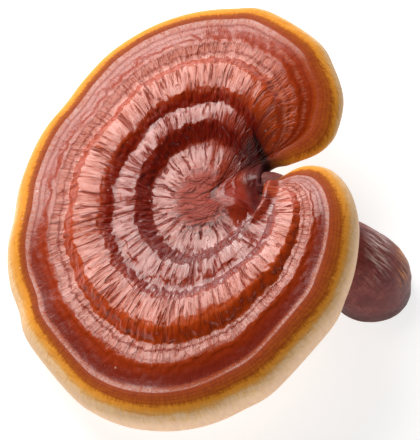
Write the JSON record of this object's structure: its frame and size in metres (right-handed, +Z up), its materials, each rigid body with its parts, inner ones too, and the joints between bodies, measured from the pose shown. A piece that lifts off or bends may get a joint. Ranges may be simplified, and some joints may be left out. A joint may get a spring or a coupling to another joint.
{
  "type": "reishi mushroom",
  "caption": "Whole picked reishi mushroom with a ringed, glossy, kidney-shaped cap and a short side stem, lying on its cut foot and the far edge of its cap.",
  "frame": {"origin": "centre of the bounding box on the table it lies on, at Z = 0", "axes": "+Z up; +X from the cap towards the foot of the stem; +Y along the length of the kidney-shaped cap"},
  "size_m": [0.122, 0.1502, 0.0395],
  "materials": {
    "cap": "natural lacquer-like crust, glossy, on corky flesh",
    "stem": "natural lacquer-like crust, satin, dark purple-brown"
  },
  "bodies": {
    "root": {"cap": "cap", "stem": "stem"}
  },
  "joints": []
}
